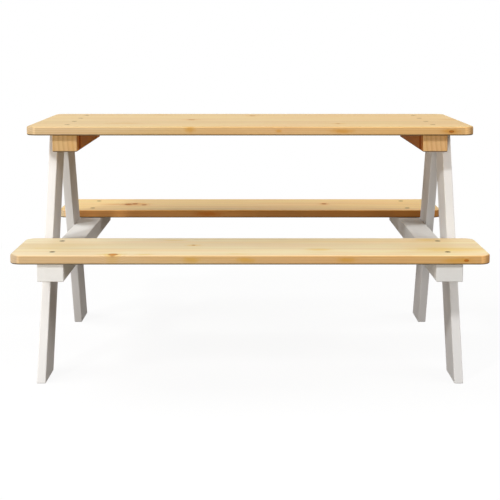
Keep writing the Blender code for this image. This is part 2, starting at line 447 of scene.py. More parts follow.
class Wood:
    """Where a point lies in its piece: the vector and its three parts."""

    def __init__(self, recipe):
        attribute = recipe.node("ShaderNodeAttribute", {"attribute_name": GRAIN}, output="Vector")
        self.place = attribute
        self.along = recipe.node("ShaderNodeSeparateXYZ", {}, {"Vector": attribute}, "X")
        self.across = self.along.sibling("Y")
        self.through = self.along.sibling("Z")


print("grain attribute:", GRAIN)

# %% [markdown]
# A knot is a branch that was sawn through, and resin gathers in patches. Both
# could be painted by hand, face by face. Here each is a mark: an egg-shaped
# cloud with a middle and a reach, so that one mark shows on the top, the edge
# and the underside if it reaches that far. Noise makes its outline ragged.

# %% Shape a mark in the wood
RAGGED_CELLS = (120, 160, 160)


def mark(recipe, wood, middle, reach):
    """Distance from a mark's middle, as a share of its reach."""
    shares = tuple(1 / value for value in reach)
    offset = recipe.vector("SUBTRACT", wood.place, middle)
    return recipe.length(recipe.vector("MULTIPLY", offset, shares))


def nearest(recipe, wood, marks):
    """The smallest of the distances from several marks."""
    distance = mark(recipe, wood, *marks[0])
    for middle, reach in marks[1:]:
        distance = distance.math("MINIMUM", distance, mark(recipe, wood, middle, reach))
    return distance


print(f"a mark's outline wavers every {1 / max(RAGGED_CELLS):.4f} m or so")

# %% [markdown]
# Wide boards are glued from staves, strips that come from different trunks. They
# could be modelled one by one, but their seams hardly show. The number of the
# stave under a point is its place across, counted in stave widths and rounded
# down. White Noise turns that whole number into three steady random ones: the
# stave's tone, and how far to the side and how deep its trunk lay. Each stave
# reads its noise a step further along, so no two have the same figure.

# %% Split a board into staves
STAVE_SEAM = 0.0004
STAVE_STEP = 3.7


class Stave:
    """The glued strip that a point lies in, with its random choices."""

    def __init__(self, recipe, wood, width, number_of_staves, seed):
        stave_width = width / number_of_staves
        position = wood.across / stave_width + (number_of_staves / 2 + seed)
        number = position.math("FLOOR", position)
        self.off_middle = (position - number - 0.5) * stave_width
        settings = {"noise_dimensions": "1D"}
        random = recipe.node("ShaderNodeTexWhiteNoise", settings, {"W": number}, "Color")
        red = recipe.node("ShaderNodeSeparateColor", {}, {"Color": random}, "Red")
        self.tone = red - 0.5
        self.sideways = red.sibling("Green") - 0.5
        self.depth = red.sibling("Blue")
        edge = abs(self.off_middle) - (stave_width / 2 - STAVE_SEAM)
        self.seam = recipe.smooth(edge, 0.0, STAVE_SEAM)
        apart = {"X": wood.along + number * STAVE_STEP, "Y": wood.across, "Z": wood.through}
        self.own_place = recipe.node("ShaderNodeCombineXYZ", {}, apart)


print("a glue seam's width:", 2 * STAVE_SEAM, "m")

# %% [markdown]
# The sums run from the trunk outwards: how far the point lies from the middle of
# the trunk, how many rings that is, and how late in the last ring's year. Early
# wood is pale, and the wood darkens until the line where the winter stopped it.
# A growth says how wide a ring is, how far aside and below the piece the trunk
# lay, and how much that differs from stave to stave. No trunk is quite round, so
# slow noise lets the rings wander, and a knot pushes the rings near it aside.

# %% Find the ring under a point
BOARD_GROWTH = {"ring": 0.0042, "aside": 0.0, "below": 0.030, "spread": 0.060}
CLEAT_GROWTH = {"ring": 0.0095, "aside": 0.110, "below": -0.008, "spread": 0.015}
WANDER = 0.007
WANDER_CELLS = (2.4, 10, 10)
KNOT_PUSH = 0.010
PUSH_FADE = (0.4, 3.4)
LATE_RISE = (0.35, 0.92)
LATE_FALL = (0.94, 1.0)


def late_wood(recipe, wood, stave, distance, growth):
    """0 in a ring's pale wood and 1 in its amber line."""
    sideways = stave.off_middle - stave.sideways * growth["spread"] + growth["aside"]
    below = wood.through + stave.depth * growth["spread"] + growth["below"]
    radius = (sideways * sideways + below * below) ** 0.5
    wander = recipe.noise(stave.own_place, WANDER_CELLS) - 0.5
    push = recipe.fade(distance, *PUSH_FADE)
    ring = (radius + wander * WANDER + push * KNOT_PUSH) / growth["ring"]
    return recipe.band(ring.math("FRACT", ring), LATE_RISE, LATE_FALL)


print("ring widths:", BOARD_GROWTH["ring"], "m in a board,", CLEAT_GROWTH["ring"], "m in a cleat")

# %% [markdown]
# Wood without marks is three layers of colour. The ground drifts between a pale
# tone and a blush, the rings' amber lines lie over it, and long streaks of
# darker wood lie over both. A palette names these colours, and each share in it
# says how far a layer covers what is under it.

# %% Colour the clear wood
DRIFT_CELLS = (4, 16, 16)
DRIFT_REACH = (0.40, 0.62)
STREAK_CELLS = (1.4, 42, 30)
STREAK_DETAIL = 3.0
STREAK_REACH = (0.50, 0.72)


def clear_wood(recipe, stave, late, palette):
    drift = recipe.smooth(recipe.noise(stave.own_place, DRIFT_CELLS), *DRIFT_REACH)
    streak_noise = recipe.noise(stave.own_place, STREAK_CELLS, STREAK_DETAIL)
    streak = recipe.smooth(streak_noise, *STREAK_REACH)
    colour = recipe.mix(drift, palette["pale"], palette["blush"])
    colour = recipe.mix(late * palette["ring_share"], colour, palette["ring"])
    return recipe.mix(streak * palette["streak_share"], colour, palette["streak"])


print(f"a streak is about {1 / STREAK_CELLS[0]:.1f} m long and {1 / STREAK_CELLS[1]:.3f} m wide")

# %% [markdown]
# Resin stains the wood orange and fades out from the middle of its patch. A knot
# is layered in the same way: a resin halo in the wood around it, the red-brown
# core of the branch, and a darker rim where the branch's bark was.

# %% Add the resin and the knots
RESIN_RAGGEDNESS = 0.6
RESIN_FADE = (0.15, 1.0)
KNOT_RAGGEDNESS = 0.25
HALO_FADE = (0.9, 2.4)
HALO_SHARE = 0.45
CORE_FADE = (0.70, 1.0)
CORE_SHARE = 0.85
BARK_RISE = (0.55, 0.85)
BARK_FALL = (0.95, 1.25)
BARK_SHARE = 0.75


def resinous(recipe, wood, colour, patches, ragged, palette):
    for middle, reach in patches:
        distance = mark(recipe, wood, middle, reach) + ragged * RESIN_RAGGEDNESS
        strength = recipe.fade(distance, *RESIN_FADE)
        colour = recipe.mix(strength * palette["resin_share"], colour, palette["resin"])
    return colour


def knotty(recipe, colour, distance, core, palette):
    halo = recipe.fade(distance, *HALO_FADE)
    bark = recipe.band(distance, BARK_RISE, BARK_FALL)
    colour = recipe.mix(halo * HALO_SHARE, colour, palette["resin"])
    colour = recipe.mix(core * CORE_SHARE, colour, palette["knot"])
    return recipe.mix(bark * BARK_SHARE, colour, palette["knot_rim"])


print("a knot's halo ends at", HALO_FADE[1], "times the knot's reach")

# %% [markdown]
# The faces of a piece differ in tone. The top is sanded and lacquered, the long edge takes more
# lacquer and turns amber, and the end grain drinks the most and turns dark. On the seats the top's
# tint is also paler and greyer than the edge's: that is partly painted sheen, for the lacquer's
# whitish reflection. Each tint is a pair, for painted light and shade across the piece: a board's left
# end is painted lighter, as if lit, and its right end darker, as if in shade, and a cleat's inner side
# is painted as its shaded side. Three materials on one piece could do this too, but with hard borders.
# The direction that the surface faces tells the faces apart and blends them round the corners. Towards
# the shaded side the end's tint starts further round the corner, so its limits are pairs too.

# %% Tint the top, the edge and the ends
BOARD_SHADED_SIDE = {"side": ALONG, "reach": (-0.45, 0.45)}
LEFT_CLEAT_SHADED_SIDE = {"side": BACK_ACROSS, "reach": (-0.012, 0.012)}
RIGHT_CLEAT_SHADED_SIDE = {"side": ACROSS, "reach": (-0.012, 0.012)}
TOP_FACING = (0.5, 0.9)
END_FROM = (0.05, 0.22)
END_TO = (0.45, 0.85)


def between(pair, share):
    return pair[0] + share * (pair[1] - pair[0])


def towards_shade(recipe, wood, heartwood):
    """0 on the lit side and 1 on the side painted as shaded."""
    return recipe.smooth(recipe.dot(wood.place, heartwood["side"]), *heartwood["reach"])


def end_grain(recipe, normal, grain_axis, heart):
    """1 on the sawn ends, and less on the way round the corner to them."""
    facing = abs(recipe.dot(normal, grain_axis))
    return recipe.smooth(facing, between(END_FROM, heart), between(END_TO, heart))


# Painted light and shade: the tints paint sheen on the seats' tops, light on a board's left end, and
# shade on its right end and on a cleat's inner side.
def tinted(recipe, colour, normal, heart, end, palette):
    top = recipe.smooth(abs(recipe.dot(normal, UP)), *TOP_FACING)
    edge_tint = recipe.mix(heart, *palette["edge_tints"])
    top_tint = recipe.mix(heart, *palette["top_tints"])
    end_tint = recipe.mix(heart, *palette["end_tints"])
    tint = recipe.mix(end, recipe.mix(top, edge_tint, top_tint), end_tint)
    return recipe.mix(1.0, colour, tint, blend="MULTIPLY")


print("the tone changes along a board between", BOARD_SHADED_SIDE["reach"], "m")

# %% [markdown]
# Fine fibres, the stave's own tone and the glue seams darken the wood a little. Two painted shades
# darken it more. The easing under the edge, which faces down, is darkened into a dark line: painted
# shade where the edge shades its own underside. Each screw gets a dark ring of wood round its head:
# painted shade for the shade in its countersunk hole. All of them are one factor on the colour.

# %% Shade the fibres, and paint shade under the edges and round the screws
FIBRE_CELLS = (10, 650, 650)
FIBRE_NOISE = {"detail": 3.0, "roughness": 0.6}
FIBRE_SHADE = 0.22
STAVE_SHADE = 0.10
SEAM_SHADE = 0.25
UNDER_EDGE_SHADE_RISE = (0.05, 0.35)
UNDER_EDGE_SHADE_FALL = (0.90, 0.99)
UNDER_EDGE_SHADE = 0.85
SCREW_RING_FADE = (0.0042, 0.0072)
SCREW_RING_SHADE = 0.75


# Painted shade: a dark ring round each screw's head, for the shade in its countersunk hole.
def screw_shades(recipe, wood, screws):
    """1 in the ring of painted shade round each screw's head."""
    bruised = 0.0
    for middle in screws:
        away = recipe.length(recipe.vector("SUBTRACT", wood.place, middle))
        bruised = bruised + recipe.fade(away, *SCREW_RING_FADE)
    return bruised


# Painted shade: the easing under each edge is darkened where the edge shades it.
def wood_shade(recipe, stave, normal, fibre, bruised):
    under_edge_shade = recipe.band(recipe.dot(normal, DOWN), UNDER_EDGE_SHADE_RISE, UNDER_EDGE_SHADE_FALL)
    shade = (fibre - 0.5) * FIBRE_SHADE + stave.tone * STAVE_SHADE + 1.0
    shade = shade * (1 - stave.seam * SEAM_SHADE)
    shade = shade * (1 - under_edge_shade * UNDER_EDGE_SHADE)
    return shade * (1 - bruised * SCREW_RING_SHADE)


print("bruised ring, from the screw's axis:", SCREW_RING_FADE, "m")

# %% [markdown]
# The steps above now join into one finish, which is made again for each piece with its own palette and
# marks. Lacquer sinks in unevenly, so the roughness follows the fibres, and the hard amber lines are a
# little glossier. End grain, knots and the rings of painted shade round the screws stay dull. The
# relief is less than half a millimetre deep: fibres and amber lines stand proud of it, and a knot's
# core is sunk.

# %% Mix a pine finish
FIBRE_HEIGHT = 0.6
LATE_HEIGHT = 0.5
CORE_DIP = 0.4
WOOD_RELIEF = {"strength": 0.35, "distance": 0.0004}
FIBRE_ROUGHNESS = 0.16
LATE_GLOSS = 0.04
DULL_ROUGHNESS = 0.3
BOARD_GLOSS = {"roughness": 0.48, "specular": 0.30}
CLEAT_GLOSS = {"roughness": 0.75, "specular": 0.08}


def pine_finish(
    name, width, staves, seed, palette, knots, resin, screws, grain_axis, gloss, growth, heartwood
):
    material, recipe = new_finish(name)
    wood = Wood(recipe)
    stave = Stave(recipe, wood, width, staves, seed)
    normal = recipe.node("ShaderNodeNewGeometry", output="Normal")
    ragged = recipe.noise(wood.place, RAGGED_CELLS) - 0.5
    fibre = recipe.noise(stave.own_place, FIBRE_CELLS, **FIBRE_NOISE)

    distance = nearest(recipe, wood, knots) + ragged * KNOT_RAGGEDNESS
    core = recipe.fade(distance, *CORE_FADE)
    late = late_wood(recipe, wood, stave, distance, growth)
    heart = towards_shade(recipe, wood, heartwood)
    end = end_grain(recipe, normal, grain_axis, heart)
    bruised = screw_shades(recipe, wood, screws)

    colour = clear_wood(recipe, stave, late, palette)
    colour = resinous(recipe, wood, colour, resin, ragged, palette)
    colour = knotty(recipe, colour, distance, core, palette)
    colour = tinted(recipe, colour, normal, heart, end, palette)
    shade = wood_shade(recipe, stave, normal, fibre, bruised)
    colour = recipe.node("ShaderNodeVectorMath", {"operation": "SCALE"}, {0: colour, "Scale": shade})

    roughness = (fibre - 0.5) * FIBRE_ROUGHNESS + gloss["roughness"] - late * LATE_GLOSS
    height = fibre * FIBRE_HEIGHT + late * LATE_HEIGHT - core * CORE_DIP
    recipe.principled({
        "Base Color": colour,
        "Roughness": roughness + (end + core + bruised) * DULL_ROUGHNESS,
        "Normal": recipe.bump(height, **WOOD_RELIEF),
        "Specular IOR Level": gloss["specular"],
    })
    print(name, "nodes:", len(material.node_tree.nodes))
    return material


print("pine's gloss:", "boards", BOARD_GLOSS, "cleats", CLEAT_GLOSS)

# %% [markdown]
# ## White paint
# The bearers and legs are painted wood. A plain white would look like plastic.
# The paint hides the colour of the grain but not its ridges, so the grain stays
# in the bump. A roller leaves a fine, even stipple over it, and the coat is a
# little warmer where it is thin or where dust has settled. Its white is less
# than full, because no paint sends back all the light.

# %% Mix the white paint
RIDGE_CELLS = (6, 260, 260)
STIPPLE_CELLS = (900, 900, 900)
COAT_CELLS = (7, 30, 30)
COAT_DETAIL = 3.0
THIN_REACH = (0.42, 0.75)
THIN_SHARE = 0.6
DUST_CELLS = (60, 60, 60)
DUST_DETAIL = 4.0
DUST_REACH = (0.60, 0.80)
DUST_SHARE = 0.10
RIDGE_HEIGHT = 0.7
STIPPLE_HEIGHT = 0.3
PAINT_RELIEF = {"strength": 0.25, "distance": 0.0003}
PAINT_ROUGHNESS = 0.58
COAT_ROUGHNESS = 0.12
STIPPLE_ROUGHNESS = 0.08
PAINT_SPECULAR = 0.11


def white_finish(name, colour, thin_colour):
    material, recipe = new_finish(name)
    wood = Wood(recipe)
    ridges = recipe.noise(wood.place, RIDGE_CELLS, **FIBRE_NOISE)
    stipple = recipe.noise(wood.place, STIPPLE_CELLS)
    coat = recipe.noise(wood.place, COAT_CELLS, COAT_DETAIL)
    thin = recipe.smooth(coat, *THIN_REACH)
    dust = recipe.smooth(recipe.noise(wood.place, DUST_CELLS, DUST_DETAIL), *DUST_REACH)
    base = recipe.mix(thin * THIN_SHARE, colour, thin_colour)
    base = recipe.mix(dust * DUST_SHARE, base, thin_colour)
    height = ridges * RIDGE_HEIGHT + stipple * STIPPLE_HEIGHT
    recipe.principled({
        "Base Color": base,
        "Roughness": coat * COAT_ROUGHNESS + stipple * STIPPLE_ROUGHNESS + PAINT_ROUGHNESS,
        "Normal": recipe.bump(height, **PAINT_RELIEF),
        "Specular IOR Level": PAINT_SPECULAR,
    })
    print(name, "nodes:", len(material.node_tree.nodes))
    return material


leg_white = white_finish("leg_white_paint", rgb(0.785, 0.775, 0.762), rgb(0.74, 0.722, 0.70))
bearer_white = white_finish("bearer_white_paint", rgb(0.81, 0.81, 0.79), rgb(0.76, 0.755, 0.73))

# %% [markdown]
# ## The screws' metal
# The screws are plated steel of a very dark bronze colour. That darkness is partly painted shade, for
# the shade in their countersunk holes, and it also dims the white room in their reflections. One flat
# brown would do from afar. Up close the plating clouds and is scratched, at a scale of tenths of a
# millimetre. Metal colours its reflections, and the plating has one more colour for reflections at a
# glancing angle.

# %% Mix the screws' metal
PLATING_EDGE = rgb(0.11, 0.09, 0.055)
PLATING_CELLS = (700, 700, 700)
PLATING_DETAIL = 3.0
DULL_REACH = (0.35, 0.65)
SCRATCH_CELLS = (300, 4000, 900)
SCRATCH_RELIEF = {"strength": 0.2, "distance": 0.00005}
METAL_ROUGHNESS = 0.20
PLATING_ROUGHNESS = 0.25
SCRATCH_ROUGHNESS = 0.15


def metal_finish(name, bright, dull):
    material, recipe = new_finish(name)
    place = recipe.node("ShaderNodeTexCoord", output="Object")
    plating = recipe.noise(place, PLATING_CELLS, PLATING_DETAIL)
    scratch = recipe.noise(place, SCRATCH_CELLS)
    recipe.principled({
        "Base Color": recipe.mix(recipe.smooth(plating, *DULL_REACH), bright, dull),
        "Metallic": 1.0,
        "Roughness": plating * PLATING_ROUGHNESS + scratch * SCRATCH_ROUGHNESS + METAL_ROUGHNESS,
        "Normal": recipe.bump(scratch, **SCRATCH_RELIEF),
        "Specular Tint": PLATING_EDGE,
    })
    print(name, "nodes:", len(material.node_tree.nodes))
    return material


# Painted shade: the screws' very dark colour stands partly for the shade in their holes.
screw_metal = metal_finish("bronzed_screw", rgb(0.13, 0.098, 0.048), rgb(0.065, 0.047, 0.022))

# %% [markdown]
# ## Making a wooden piece
# Every wooden piece is sawn, eased along its edges and bored. It could be made
# in its place, but leaning pieces are hard to reach there. Each is made lying
# along its own X axis, with its middle at the origin, because the grain runs
# that way. Only the finished mesh is turned and moved to its place in the set.

# %% Saw a blank and ease its edges
SHARP = math.radians(35)
ROUND = 0.5


def blank(length, width, thickness):
    bm = bmesh.new()
    bmesh.ops.create_cube(bm, size=1)
    bmesh.ops.scale(bm, vec=(length, width, thickness), verts=bm.verts)
    return bm


def eased(bm, radius, segments, edges=None):
    """Round edges over: those given, or every sharp one."""
    if edges is None:
        edges = [edge for edge in bm.edges if edge.calc_face_angle(0) > SHARP]
    bmesh.ops.bevel(bm, geom=edges, offset=radius, segments=segments, profile=ROUND, affect="EDGES")
    return bm


def mesh_from(bm, name):
    bmesh.ops.recalc_face_normals(bm, faces=bm.faces)
    mesh = bpy.data.meshes.new(name)
    bm.to_mesh(mesh)
    bm.free()
    return mesh


trial = blank(1, 1, 1)
print("a blank's faces:", len(trial.faces))
trial.free()

# %% [markdown]
# Screws and their holes are turned shapes: a profile of radius and height is
# spun round Z. Blender's Screw modifier spins a profile too, but it can't cut a
# thread on the way. This lathe can: a groove takes a share off the radius that
# depends on the height and on the turn.

# %% Turn a profile
TURNED_SIDES = 32


def uncut(height, turn):
    return 0.0


def turned(profile, groove=uncut):
    """A closed shape from a profile that runs down from the axis and back to it."""
    bm = bmesh.new()
    rings = []
    for radius, height in profile:
        if radius == 0:
            rings.append([bm.verts.new((0, 0, height))])
            continue
        ring = []
        for side in range(TURNED_SIDES):
            turn = side / TURNED_SIDES
            angle = 2 * math.pi * turn
            reach = radius * (1 - groove(height, turn))
            ring.append(bm.verts.new((reach * math.cos(angle), reach * math.sin(angle), height)))
        rings.append(ring)
    for upper, lower in zip(rings, rings[1:]):
        for side in range(TURNED_SIDES):
            after = (side + 1) % TURNED_SIDES
            corners = [upper[side % len(upper)], lower[side % len(lower)]]
            corners += [lower[after % len(lower)], upper[after % len(upper)]]
            bm.faces.new(list(dict.fromkeys(corners)))
    return bm


trial = turned([(0, 1), (1, 0), (0, 0)])
print("a turned cone's faces:", len(trial.faces))
trial.free()

# %% [markdown]
# Holes could be modelled into each face by hand. A Boolean modifier cuts them
# just as a drill does. It needs objects, so a piece and its cutter live in the
# scene just long enough to be cut.

# %% Cut one mesh with another
def evaluated(mesh, change):
    """The mesh after the modifiers that change() puts on it."""
    carrier = bpy.data.objects.new("carrier", mesh)
    scene.collection.objects.link(carrier)
    change(carrier)
    depsgraph = bpy.context.evaluated_depsgraph_get()
    finished = bpy.data.meshes.new_from_object(carrier.evaluated_get(depsgraph))
    bpy.data.objects.remove(carrier)
    return finished


def cut(mesh, cutter_mesh):
    cutter = bpy.data.objects.new("cutter", cutter_mesh)
    scene.collection.objects.link(cutter)

    def change(carrier):
        boolean = carrier.modifiers.new("cut", "BOOLEAN")
        boolean.operation = "DIFFERENCE"
        boolean.solver = "EXACT"
        boolean.object = cutter

    result = evaluated(mesh, change)
    bpy.data.objects.remove(cutter)
    return result


trial = cut(mesh_from(blank(2, 2, 1), "trial"), mesh_from(blank(1, 1, 2), "trial_hole"))
print("corners of a block with a square hole:", len(trial.vertices))
bpy.data.meshes.remove(trial)

# %% [markdown]
# Flat shading would show every small face of a rounding, and smooth shading
# alone would bend the light on the flat faces beside it. Sharp edges are marked
# by their angle, and weighted normals keep the large faces flat.

# %% Shade round and flat parts
def smooth_shaded(mesh):
    mesh.shade_smooth()
    mesh.set_sharp_from_angle(angle=SHARP)

    def change(carrier):
        carrier.modifiers.new("even shading", "WEIGHTED_NORMAL").keep_sharp = True

    return evaluated(mesh, change)


print("sharp from:", round(math.degrees(SHARP)), "degrees")

# %% [markdown]
# ## The two kinds of screw
# Both are countersunk. Short ones hold the boards and long ones hold the legs. A
# screw's parts are written as shares of its head's or its shank's diameter, so
# both kinds come from the same few lines. A hole could be a plain cylinder, but
# the head would then stand on the wood. The hole has the screw's own outline
# without the thread, 0.3 mm wider all round, and runs on above the face.

# %% Set the screws' sizes and their holes
SCREWS = {
    "board": {"head": 0.008, "shank": 0.004, "length": 0.035},
    "leg": {"head": 0.010, "shank": 0.005, "length": 0.050},
}
CLEARANCE = 0.0003
RIM_SHARE = 0.05
TIP_SHARE = 1.5
BORE_OVERRUN = 0.002


def hole_profile(head, shank, length):
    rim = RIM_SHARE * head
    cone = (head - shank) / 2
    bottom = -length - CLEARANCE
    return [
        (0, BORE_OVERRUN),
        (head / 2 + CLEARANCE, BORE_OVERRUN),
        (head / 2 + CLEARANCE, -rim),
        (shank / 2 + CLEARANCE, -rim - cone),
        (shank / 2 + CLEARANCE, bottom + TIP_SHARE * shank),
        (0, bottom),
    ]


HOLE_MESHES = {
    kind: mesh_from(turned(hole_profile(**sizes)), kind + "_hole")
    for kind, sizes in SCREWS.items()
}
print("faces of a hole:", {kind: len(mesh.polygons) for kind, mesh in HOLE_MESHES.items()})

# %% [markdown]
# A screw's head has a small chamfer, a rim and a cone. Under the cone a length
# of shank stays plain, and from there the thread runs to the point. The thread
# could be a separate spiral laid round the shank. A groove in the turned shank
# is one closed mesh instead. The groove is deepest halfway between two crests
# and climbs one pitch each turn.

# %% Turn a screw
CHAMFER_SHARE = 0.02
PLAIN_SHARE = 1.0
PITCH_SHARE = 0.45
THREAD_DEPTH_SHARE = 0.22
RINGS_PER_PITCH = 4


def thread_top(head, shank):
    return -RIM_SHARE * head - (head - shank) / 2 - PLAIN_SHARE * shank


def screw_profile(head, shank, length):
    rim = RIM_SHARE * head
    chamfer = CHAMFER_SHARE * head
    cone = (head - shank) / 2
    profile = [
        (0, 0),
        (head / 2 - chamfer, 0),
        (head / 2, -chamfer),
        (head / 2, -rim),
        (shank / 2, -rim - cone),
    ]
    top = thread_top(head, shank)
    step = PITCH_SHARE * shank / RINGS_PER_PITCH
    taper_length = TIP_SHARE * shank
    for number in range(int((top + length) / step)):
        height = top - number * step
        above_point = height + length
        profile.append((shank / 2 * min(1, above_point / taper_length), height))
    profile.append((0, -length))
    return profile


def thread_groove(head, shank, length):
    top = thread_top(head, shank)

    def groove(height, turn):
        if height >= top or height <= -length:
            return 0.0
        climb = (height / (PITCH_SHARE * shank) + turn) % 1
        return THREAD_DEPTH_SHARE * abs(2 * climb - 1)

    return groove


print("rings in a screw:", {kind: len(screw_profile(**sizes)) for kind, sizes in SCREWS.items()})

# %% [markdown]
# The cross recess is cut by two tapered blades that cross, which is how its
# punch is shaped.

# %% Punch the cross
RECESS_SPAN_SHARE = 0.56
RECESS_WIDTH_SHARE = 0.13
RECESS_DEPTH_SHARE = 0.24
RECESS_FLOOR_SHARE = 0.35
CROSS_TURNS = (0, math.pi / 2)


def recess_blade(head, turn):
    depth = RECESS_DEPTH_SHARE * head
    bm = blank(RECESS_SPAN_SHARE * head, RECESS_WIDTH_SHARE * head, 2 * depth)
    floor_verts = [vert for vert in bm.verts if vert.co.z < 0]
    bmesh.ops.scale(bm, vec=(RECESS_FLOOR_SHARE, RECESS_FLOOR_SHARE, 1), verts=floor_verts)
    bmesh.ops.rotate(bm, verts=bm.verts, cent=(0, 0, 0), matrix=Matrix.Rotation(turn, 3, "Z"))
    return mesh_from(bm, "recess_blade")


def screw_mesh(kind):
    sizes = SCREWS[kind]
    mesh = mesh_from(turned(screw_profile(**sizes), thread_groove(**sizes)), kind + "_screw")
    for turn in CROSS_TURNS:
        mesh = cut(mesh, recess_blade(sizes["head"], turn))
    return smooth_shaded(mesh)


SCREW_MESHES = {kind: screw_mesh(kind) for kind in SCREWS}
print("faces of a screw:", {kind: len(mesh.polygons) for kind, mesh in SCREW_MESHES.items()})

# %% [markdown]
# ## Where the screws go
# The measured model already holds every screw, so each place is read from its
# box instead of being typed again: the middle of the box gives the axis, and the
# end on the outside is the head. Nobody stops a screwdriver at the same angle
# twice, so each cross is turned by an angle of its own. The golden angle is
# added from screw to screw, and no two of the 32 then stand alike.

# %% Read the screws' places
GOLDEN_ANGLE = math.radians(137.5)


def axes(along, out, middle):
    """The matrix that puts X along a direction and Z out of the piece's face."""
    x_axis = Vector(along).normalized()
    z_axis = Vector(out).normalized()
    y_axis = z_axis.cross(x_axis)
    turn = Matrix((x_axis, y_axis, z_axis)).transposed().to_4x4()
    return Matrix.Translation(middle) @ turn


def screw_place(node, number):
    low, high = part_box(node)
    middle = (low + high) / 2
    angle = number * GOLDEN_ANGLE
    if "leg" in node:
        side = math.copysign(1, middle.x)
        head = Vector((side * max(abs(low.x), abs(high.x)), middle.y, middle.z))
        return "leg", axes((0, math.cos(angle), math.sin(angle)), (side, 0, 0), head)
    head = Vector((middle.x, middle.y, high.z))
    return "board", axes((math.cos(angle), math.sin(angle), 0), UP, head)


screw_nodes = sorted(node for node in record_nodes if node.startswith("screw_"))
SCREW_PLACES = {node: screw_place(node, number) for number, node in enumerate(screw_nodes)}
print("screws:", len(SCREW_PLACES))

# %% [markdown]
# ## Boring a piece
# Which screws reach into a piece could be listed by hand. Their boxes say it as
# well: a piece is bored for every screw whose box overlaps its own. All its
# holes are gathered in one mesh and cut in one go, because every cut costs time.

# %% Bore a piece
def overlapping(node, other):
    low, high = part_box(node)
    other_low, other_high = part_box(other)
    return all(low[axis] < other_high[axis] and other_low[axis] < high[axis] for axis in range(3))


def bored(mesh, node, place):
    """The piece with the holes of every screw that reaches into it."""
    holes = bmesh.new()
    for screw in screw_nodes:
        if overlapping(node, screw):
            kind, screw_matrix = SCREW_PLACES[screw]
            hole = HOLE_MESHES[kind].copy()
            hole.transform(place.inverted() @ screw_matrix)
            holes.from_mesh(hole)
            bpy.data.meshes.remove(hole)
    return cut(mesh, mesh_from(holes, node + "_holes"))


print("screws in the tabletop:", sum(overlapping("tabletop", screw) for screw in screw_nodes))

# %% [markdown]
# ## Handing a piece over
# A finished mesh keeps its own coordinates as an attribute, for its finish to read. A piece that
# shares its paint with others may add a step to them, so that no two show the same ridges. It is then
# moved to its place, stands for its node of the measured model, and takes the finish that it is given.

# %% Finish and place a piece
def hand_over(node, mesh, place, finish, apart=0.0):
    own = mesh.attributes.new(GRAIN, "FLOAT_VECTOR", "POINT")
    offset = Vector((apart, 0, 0))
    own.data.foreach_set("vector", [value for vert in mesh.vertices for value in vert.co + offset])
    mesh.transform(place)
    mesh.materials.clear()
    mesh.materials.append(finish)
    mesh.name = "finished_" + node
    piece = bpy.data.objects.new("finished_" + node, mesh)
    scene.collection.objects.link(piece)
    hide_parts(node)
    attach(piece, "root")
    return piece


def make_piece(node, bm, place, finish, apart=0.0):
    mesh = smooth_shaded(bored(mesh_from(bm, node), node, place))
    print(node, "faces:", len(mesh.polygons))
    return hand_over(node, mesh, place, finish, apart)


print("kinds of material in the record:", sorted(set(record_nodes.values())))

# %% [markdown]
# ## The three boards
# Three boards of one wood could share one finish. On the real set no two are alike, so each has a
# palette of its own. The tabletop's comes first. The front seat is paler. The rear seat's edge gets
# darker and more orange towards its right end: that is painted shade, for the shade under the
# tabletop. A palette holds the colours of the figure, the shares that they cover, and the faces' tints
# for the left and the right end, which carry painted light and shade.

# %% Choose the boards' colours
BOARD_PALETTE = {
    "pale": rgb(0.89, 0.64, 0.355),
    "blush": rgb(0.88, 0.59, 0.335),
    "ring": rgb(0.76, 0.47, 0.195),
    "ring_share": 0.55,
    "streak": rgb(0.78, 0.49, 0.178),
    "streak_share": 0.55,
    "resin": rgb(0.75, 0.40, 0.09),
    "resin_share": 0.80,
    "knot": rgb(0.55, 0.18, 0.02),
    "knot_rim": rgb(0.26, 0.08, 0.015),
    "top_tints": (rgb(0.76, 0.78, 0.64), rgb(0.785, 0.77, 0.54)),
    "edge_tints": (rgb(0.90, 0.945, 0.98), rgb(1.0, 0.885, 0.69)),
    "end_tints": (rgb(0.60, 0.64, 0.70), rgb(0.48, 0.41, 0.31)),
}
FRONT_PALETTE = {
    **BOARD_PALETTE,
    "pale": rgb(0.90, 0.70, 0.46),
    "blush": rgb(0.90, 0.64, 0.41),
    "ring": rgb(0.82, 0.53, 0.275),
    "streak": rgb(0.86, 0.57, 0.25),
    "resin": rgb(0.83, 0.51, 0.12),
    "resin_share": 0.70,
    "knot": rgb(0.60, 0.19, 0.02),
    "knot_rim": rgb(0.42, 0.13, 0.02),
    "top_tints": (rgb(0.865, 0.99, 0.98), rgb(0.895, 0.965, 0.84)),
    "edge_tints": (rgb(0.87, 0.863, 0.73), rgb(1.0, 0.815, 0.50)),
    "end_tints": (rgb(0.56, 0.60, 0.62), rgb(0.52, 0.39, 0.24)),
}
# Painted shade: the rear seat's edge tints darken its front edge, which lies in the tabletop's shade,
# most at the right end.
REAR_PALETTE = {
    **BOARD_PALETTE,
    "resin": rgb(0.72, 0.33, 0.05),
    "knot": rgb(0.47, 0.15, 0.015),
    "knot_rim": rgb(0.38, 0.13, 0.015),
    "top_tints": (rgb(0.97, 0.97, 0.68), rgb(0.98, 0.91, 0.56)),
    "edge_tints": (rgb(1.11, 0.76, 0.42), rgb(0.58, 0.345, 0.11)),
    "end_tints": (rgb(0.68, 0.76, 0.86), rgb(0.40, 0.31, 0.22)),
}
print("entries in a palette:", len(BOARD_PALETTE))

# %% [markdown]
# The marks lie where the photograph shows them. Each is a middle and a reach, in
# metres along, across and up from the middle of its board. Front is below zero
# across. A long upward reach carries a knot right through the board, and a patch
# of resin is only about a centimetre deep. The marks whose middle lies on the
# front edge show there.

